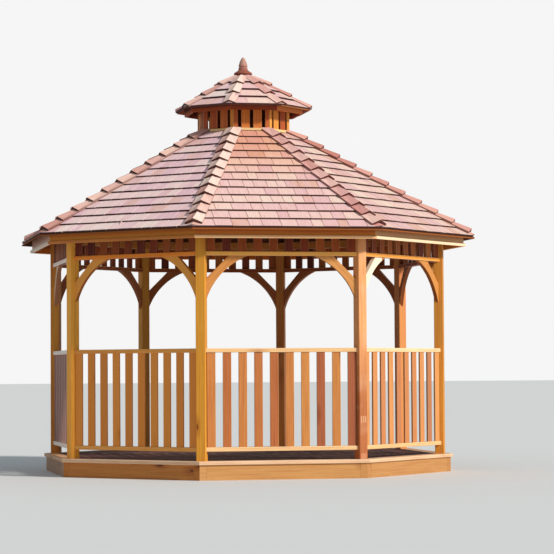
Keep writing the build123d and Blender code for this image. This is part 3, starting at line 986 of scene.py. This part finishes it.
# eaves
fasciaLow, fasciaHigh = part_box("fascia")
roofLow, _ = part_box("roof_front")
curbLow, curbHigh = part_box("cupola_walls")
eave = {
    "fasciaFace": -fasciaLow[1], "fasciaThick": 0.012, "fasciaUnder": fasciaLow[2],
    "fasciaTop": fasciaHigh[2] - 0.014, "fasciaGap": 0.001, "fasciaEase": 0.003,
    "stripThick": 0.019, "stripHeight": 0.027, "stripProud": 0.010, "stripEase": 0.002,
    "eaveFace": -roofLow[1], "shingleLayer": 0.010, "curbFace": -curbLow[1],
}
eave["eaveTop"] = roofLow[2] + eave["shingleLayer"] / cos(gazebo["roofPitch"])
eave["corner"] = eave["eaveFace"] / halfCos
fasciaStack, stripStack = BoardStack(), BoardStack()
stripFace, gap = eave["fasciaFace"] + eave["stripProud"], eave["fasciaGap"]
fasciaHeight = eave["fasciaTop"] - eave["fasciaUnder"] - gap
for turn in bayTurn.values():
    band(
        fasciaStack, turn, stripFace - eave["stripThick"], eave["fasciaThick"],
        eave["fasciaUnder"] + gap / 2, fasciaHeight, eave["fasciaEase"],
    )
    band(
        stripStack, turn, stripFace, eave["stripThick"], eave["fasciaUnder"], eave["stripHeight"],
        eave["stripEase"],
    )
settle(fasciaStack.piece("fasciaBoards", "fascia"), "fascia_cedar", "fascia")
settle(stripStack.piece("fasciaStrip", "strip"), "fascia_cedar")

# main roof
shingle = {
    "butt": 0.016, "buttLift": 0.0025, "tip": 0.0025, "length": 0.19, "edge": 0.0015, "startBack": 0.010,
    "curbLap": 0.02,
}
mainCourses = {
    "Courses": 13, "Per course": 20, "Narrowest": 0.085, "Widest": 0.2, "Gap": 0.005, "Butt wander": 0.007,
    "Seed": 5,
}


def shinglePattern(name, length):
    # Sawn taper shingle one metre wide, its butt at the origin and its length up the slope.
    butt, lift, tip, edge = (shingle[key] for key in ("butt", "buttLift", "tip", "edge"))
    profile = [
        (0.0, lift), (length, 0.0005), (length, tip), (length * 0.5, (butt + lift + tip) / 2 + 0.0004),
        (edge, butt + lift), (0.0, butt + lift - edge),
    ]
    points = [(x, y, z) for x in (-0.5, 0.5) for y, z in profile]
    faces = prismFaces(len(profile))
    edges = [0.0] * len(faces)
    edges[-1] = 1.0  # the butt, darkened partly as painted shade
    return patternObject(name, boardMesh(name, points, faces, [(y, x, z) for x, y, z in points], boardEdge=edges))


startBack = shingle["startBack"]
slopeLength = (eave["eaveFace"] - eave["curbFace"]) / cos(gazebo["roofPitch"])
firstCourse = {"distance": eave["eaveFace"] - startBack, "height": eave["eaveTop"] + startBack * roofTan}
mainPattern = shinglePattern("mainShinglePattern", shingle["length"])
settle(courses.grow("mainShingles", mainPattern, "shingle", {
    **mainCourses, "Exposure": (slopeLength - startBack) / mainCourses["Courses"], "Pitch": gazebo["roofPitch"],
    "Eave distance": firstCourse["distance"], "Eave height": firstCourse["height"],
    "Top distance": eave["curbFace"] - shingle["curbLap"],
}), "shingle_cedar")

# the split shingle at the front left eave, and the splinter that stands from it:
# feet and heads are along the eave, up the slope and off the roof
splitTurn = radians(-45)
splitPieces = {
    "shingleCrack": {
        "finish": "roofBoard", "foot": (0.08, 0.004, 0.0182), "head": (0.05, 0.15, 0.0059),
        "section": (0.006, 0.001), "ease": 0.0002,
    },
    "shingleSplinter": {
        "finish": "shingle", "foot": (-0.001, 0.103, 0.0115), "head": (-0.009, 0.173, 0.0215),
        "section": (0.013, 0.004), "ease": 0.001,
    },
}


def onEave(along, climb, lift):
    # Place on the first course of the split shingle's bay.
    turn, pitch = splitTurn, gazebo["roofPitch"]
    start = outward(turn, firstCourse["distance"]) + up * firstCourse["height"]
    upSlope = outward(turn) * -cos(pitch) + up * sin(pitch)
    normal = outward(turn) * sin(pitch) + up * cos(pitch)
    return start + alongBay(turn) * along + upSlope * climb + normal * lift


for name, split in splitPieces.items():
    foot, head = onEave(*split["foot"]), onEave(*split["head"])
    size = ((head - foot).length, *split["section"])
    splitStack = BoardStack()
    splitStack.add((foot + head) / 2, (head - foot).normalized(), alongBay(splitTurn), size, split["ease"])
    settle(splitStack.piece(name, split["finish"]), "shingle_cedar")

cap = {
    "width": 0.076, "length": 0.25, "under": 0.014, "top": 0.039, "headUnder": 0.008, "headTop": 0.018,
    "edge": 0.002, "skew": 0.0, "fold": 0.024, "steps": 11, "exposure": 0.187, "back": 0.056, "seed": 9,
}
starter = {
    **cap, "fold": 0.012, "length": 0.16, "under": 0.002, "top": 0.016, "headUnder": 0.001, "headTop": 0.012,
    "skew": 0.36, "steps": 1, "back": 0.015, "seed": 19,
}


def hipPitchOf(pitch):
    return atan2(tan(pitch) * halfCos, 1.0)


def capPattern(name, pitch, sizes):
    # One cap shingle on the right of a hip that runs towards -Y, mitred on the ridge line.
    hipPitch = hipPitchOf(pitch)
    downHip = Vector((0, -cos(hipPitch), -sin(hipPitch)))
    normal = Vector((halfSin * sin(pitch), -halfCos * sin(pitch), cos(pitch)))
    side = downHip.cross(normal)
    if side.x < 0:
        side = side * -1
    length = sizes["length"]
    corners = [
        (0.0, sizes["under"]), (length, sizes["headUnder"]), (length, sizes["headTop"]),
        (sizes["edge"], sizes["top"]), (0.0, sizes["top"] - sizes["edge"]),
    ]
    points, local = [], []
    for reach in (0.0, sizes["width"]):
        for back, lift in corners:
            back += reach * sizes["skew"] * (back < length)
            lift += 0 if reach else sizes["fold"] * (1 - 0.7 * min(1, back / length))
            sideways = reach if reach else -lift * normal.x / side.x
            points.append(side * sideways - downHip * back + normal * lift)
            local.append((back, sideways, lift))
    faces = prismFaces(len(corners))
    edges = [0.0] * len(faces)
    edges[-1], edges[1] = 1.0, 0.7  # the butt and the outer side, darkened partly as painted shade
    return patternObject(name, boardMesh(name, points, faces, local, boardEdge=edges))


def capRow(name, pitch, sizes, rowSizes, *nodeNames):
    # Caps of one kind on all the hips of one roof.
    pattern = capPattern(name + "Pattern", pitch, sizes)
    stepSizes = {"Steps": sizes["steps"], "Exposure": sizes["exposure"], "Seed": sizes["seed"]}
    caps = capSteps.grow(name, pattern, "cap", {"Hip pitch": hipPitchOf(pitch), **stepSizes, **rowSizes})
    settle(caps, "shingle_cedar", *nodeNames)


mainHips = {"Eave radius": eave["corner"], "Eave height": eave["eaveTop"]}
capRow("hipCaps", gazebo["roofPitch"], cap, {
    **mainHips, "Start radius": eave["corner"] - cap["back"],
    "Top distance": eave["curbFace"] - shingle["curbLap"],
}, "hip_caps")
capRow("starterCaps", gazebo["roofPitch"], starter, {
    **mainHips, "Start radius": eave["corner"] - starter["back"],
    "Top distance": eave["curbFace"], "Wander": 0.0, "Twist": 0.0,
})
print("main roof shingled")

# cupola
topLow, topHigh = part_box("cupola_roof")
cupola = {
    "curbUnder": curbLow[2], "curbTop": 3.3583, "curbThick": 0.038, "curbEase": 0.003,
    "wallFace": eave["curbFace"] - 0.010, "wallThick": 0.019, "wallTop": curbHigh[2], "wallEase": 0.002,
    "cornerEase": 0.0015, "slotHeight": 0.18, "slotWidth": 0.036, "slotPitch": 0.119,
    "eaveFace": -topLow[1], "topHalf": 0.078, "lap": 0.03, "overhang": 0.008,
}
cupolaCourses = {
    "Courses": 4, "Per course": 7, "Narrowest": 0.12, "Widest": 0.24, "Gap": 0.002, "Top distance": 0.09, "Seed": 6,
}
cupola["eaveTop"] = topHigh[2] - (cupola["eaveFace"] - cupola["topHalf"]) * cupolaTan
cupolaStack = BoardStack()


def wallSlat(turn, shift, width, ease):
    middle = cupola["wallFace"] - cupola["wallThick"] / 2
    height = cupola["curbTop"] + cupola["slotHeight"] / 2
    centre = outward(turn, middle) + up * height + alongBay(turn) * shift
    size = (cupola["slotHeight"], width, cupola["wallThick"])
    cupolaStack.add(centre, up, alongBay(turn), size, ease, (0, 0), luck.random(), luck.random())


slatWidth = cupola["slotPitch"] - cupola["slotWidth"]
cornerStart = 1.5 * cupola["slotPitch"] - slatWidth / 2
cornerWidth = (cupola["wallFace"] - cupola["wallThick"] / 2) * halfTan - cornerStart
bandUnder = cupola["curbTop"] + cupola["slotHeight"]
curb = (cupola["curbThick"], cupola["curbUnder"], cupola["curbTop"] - cupola["curbUnder"])
wallBand = (cupola["wallThick"], bandUnder, cupola["wallTop"] - bandUnder)
for turn in bayTurn.values():
    band(cupolaStack, turn, eave["curbFace"], *curb, cupola["curbEase"])
    band(cupolaStack, turn, cupola["wallFace"], *wallBand, cupola["wallEase"])
    for end in (-1, 1):
        wallSlat(turn, end * cupola["slotPitch"] / 2, slatWidth, cupola["wallEase"])
        wallSlat(turn, end * (cornerStart + cornerWidth / 2), cornerWidth, cupola["cornerEase"])
settle(cupolaStack.piece("cupolaBoards", "cupola"), "cupola_cedar", "cupola_walls")

cupolaLength = (cupola["eaveFace"] - cupola["topHalf"]) / cos(gazebo["cupolaPitch"])
overhang = cupola["overhang"]
shingleLength = cupolaLength / cupolaCourses["Courses"] + cupola["lap"]
cupolaPattern = shinglePattern("cupolaShinglePattern", shingleLength)
settle(courses.grow("cupolaShingles", cupolaPattern, "shingle", {
    **cupolaCourses, "Exposure": (cupolaLength + overhang) / cupolaCourses["Courses"],
    "Pitch": gazebo["cupolaPitch"], "Eave distance": cupola["eaveFace"] + overhang,
    "Eave height": cupola["eaveTop"] - overhang * cupolaTan,
}), "shingle_cedar")
cupolaCap = {
    **cap, "width": 0.06, "fold": 0.014, "length": 0.27, "under": 0.010, "top": 0.028, "headUnder": 0.003,
    "headTop": 0.009, "steps": 3, "exposure": 0.232, "topDistance": 0.098, "seed": 10,
}
cupolaCorner = cupola["eaveFace"] / halfCos
capRow("cupolaCaps", gazebo["cupolaPitch"], cupolaCap, {
    "Start radius": cupolaCorner, "Eave radius": cupolaCorner, "Eave height": cupola["eaveTop"],
    "Top distance": cupolaCap["topDistance"],
})
dressNode("cupola_roof", "cupolaEave")

# finial and the plug in the middle of the deck
finial = {
    "foot": topHigh[2], "height": 0.187, "plinth": 0.068, "plinthHeight": 0.014, "disc": 0.091, "discTop": 0.032,
    "round": 0.004, "stem": 0.046, "flareEnd": 0.066, "neck": 0.082, "groove": 0.039, "grooveTop": 0.093,
    "bell": 0.044, "bellFoot": 0.003, "shoulder": 0.126, "shoulderRadius": 0.037, "tip": 0.013, "tipLength": 0.006,
    "ease": 0.002,
}


def finialProfile(s):
    # Radius and height pairs, from the middle of the foot up to the tip.
    disc, stem, bell, ease = s["disc"], s["stem"], s["bell"], s["ease"]
    bellFoot, tipFoot = s["grooveTop"] + s["bellFoot"], s["height"] - s["tipLength"]
    profile = [
        (0.0, 0.0), (s["plinth"], 0.0), (s["plinth"], s["plinthHeight"]), (disc - s["round"], s["plinthHeight"]),
        (disc, s["plinthHeight"] + s["round"]), (disc, s["discTop"] - s["round"]),
        (disc - s["round"], s["discTop"]),
    ]
    for t in (number / 10 for number in range(1, 11)):  # hollow flare
        radius = stem + (disc - s["round"] - stem) * (1 - sin(t * pi / 2)) ** 0.9
        profile.append((radius, s["discTop"] + (s["flareEnd"] - s["discTop"]) * t))
    profile += [
        (stem, s["neck"] - ease), (stem - ease, s["neck"]), (s["groove"], s["neck"] + ease),
        (s["groove"], s["grooveTop"] - ease), (bell - ease, s["grooveTop"]), (bell, bellFoot),
    ]
    for t in (number / 6 for number in range(1, 7)):  # bell narrows to its shoulder
        radius = bell + (s["shoulderRadius"] - bell) * t * t
        profile.append((radius, bellFoot + (s["shoulder"] - s["grooveTop"] - s["bellFoot"]) * t))
    for t in (number / 10 for number in range(1, 11)):  # then closes to the tip
        radius = s["tip"] + (s["shoulderRadius"] - s["tip"]) * (1 - t ** 1.4)
        profile.append((radius, s["shoulder"] + (tipFoot - s["shoulder"]) * t))
    top = s["height"]
    return profile + [(s["tip"] * 0.75, top - 0.002), (s["tip"] * 0.4, top - 0.0005), (0.0, top)]


def turnedPiece(name, foot, profile, finish, sides=48, turn=0.0):
    points, faces, local = [(0, 0, foot)], [], [(0, 0, 0)]
    for radius, height in profile[1:-1]:
        for number in range(sides):
            angle = 2 * pi * number / sides + turn
            points.append((radius * cos(angle), radius * sin(angle), foot + height))
            local.append((height, radius * cos(angle), radius * sin(angle)))
    points.append((0, 0, foot + profile[-1][1]))
    local.append((profile[-1][1], 0, 0))
    rings = len(profile) - 2
    for number in range(sides):
        after = (number + 1) % sides
        faces.append((0, 1 + after, 1 + number))
        for ring in range(rings - 1):
            low, high = 1 + ring * sides, 1 + (ring + 1) * sides
            faces.append((low + number, low + after, high + after, high + number))
        top = 1 + (rings - 1) * sides
        faces.append((top + number, top + after, len(points) - 1))
    wood = {"boardTone": [0.4] * len(points), "boardSeed": [0.3] * len(points), "boardEdge": [0.0] * len(faces)}
    mesh = boardMesh(name, points, faces, local, **wood)
    for polygon in mesh.polygons:
        polygon.use_smooth = True
    mesh.set_sharp_from_angle(angle=radians(38))
    mesh.materials.append(finishes[finish])
    return linked(name, mesh)


finialPiece = turnedPiece("finialTurning", finial["foot"], finialProfile(finial), "finial")
settle(finialPiece, "finial_cedar", "finial")
plugEdge, plugThick = deck["plugEase"], deck["thick"]
plugRadius = (deck["face"] - deck["rings"] * deck["pitch"] - deck["plugGap"]) / halfCos
plugProfile = [
    (0, 0), (plugRadius, 0), (plugRadius, plugThick - plugEdge), (plugRadius - plugEdge, plugThick), (0, plugThick),
]
plug = turnedPiece("deckPlug", deck["top"] - plugThick, plugProfile, "deck", gazebo["bays"], bayAngle / 2)
settle(plug, "deck_cedar")
for pattern in patterns:
    bpy.data.objects.remove(pattern)
print("cupola and finial placed")

# studio floor, light and camera
studio = {
    "floorReach": 150, "floorColour": (0.74, 0.735, 0.72, 1), "floorRoughness": 0.9,
    "skyColour": (0.80, 0.91, 1.0, 1), "sky": 0.40, "backdrop": 0.92,
    "keyColour": (1.0, 0.97, 0.92), "key": 3.5, "keySoftness": radians(6), "keyTurn": radians(46),
    "keyHeight": radians(30),
}
reach = studio["floorReach"]
floorMesh = bpy.data.meshes.new("studioFloor")
corners = [(-reach, -reach, 0), (reach, -reach, 0), (reach, reach, 0), (-reach, reach, 0)]
floorMesh.from_pydata(corners, [], [(0, 1, 2, 3)])
studioFloor = linked("studioFloor", floorMesh)
paleFloor = bpy.data.materials.new("paleFloor")
paleFloor.use_nodes = True
paleShader = paleFloor.node_tree.nodes["Principled BSDF"]
paleShader.inputs["Base Color"].default_value = studio["floorColour"]
paleShader.inputs["Roughness"].default_value = studio["floorRoughness"]
floorMesh.materials.append(paleFloor)

# soft sky light, and white where the camera looks past the gazebo
world = bpy.data.worlds.new("studio")
scene.world = world
world.use_nodes = True
sky = Net(world.node_tree)
background = world.node_tree.nodes["Background"]
sky.fill(background.inputs["Color"], studio["skyColour"])
sky.fill(background.inputs["Strength"], studio["sky"])
backdrop = sky.get("ShaderNodeBackground", 0, {"Color": (1, 1, 1, 1), "Strength": studio["backdrop"]})
seen = sky.get("ShaderNodeLightPath", "Is Camera Ray", {})
blend = sky.get("ShaderNodeMixShader", 0, {"Fac": seen, 1: sky.out(background, 0), 2: backdrop})
sky.fill(world.node_tree.nodes["World Output"].inputs["Surface"], blend)

keyLamp = bpy.data.lights.new("keyLamp", "SUN")
keyLamp.energy = studio["key"]
keyLamp.angle = studio["keySoftness"]
keyLamp.color = studio["keyColour"]
fromWhere = outward(studio["keyTurn"]) * cos(studio["keyHeight"]) + up * sin(studio["keyHeight"])
linked("keyLamp", keyLamp).rotation_euler = fromWhere.to_track_quat("Z", "Y").to_euler()

photoView = {
    "lens": 148.987, "sensor": 36, "farEnd": 400,
    "place": (-4.2888, -22.3369, 1.0034), "turn": (92.2991, 0.3412, -11.6763),
}
cameraData = bpy.data.cameras.new("photoCamera")
cameraData.sensor_width = photoView["sensor"]
cameraData.lens = photoView["lens"]
cameraData.clip_end = photoView["farEnd"]
camera = linked("photoCamera", cameraData)
camera.location = photoView["place"]
camera.rotation_euler = [radians(angle) for angle in photoView["turn"]]
scene.camera = camera
scene.view_settings.view_transform = "Standard"
print("studio ready")
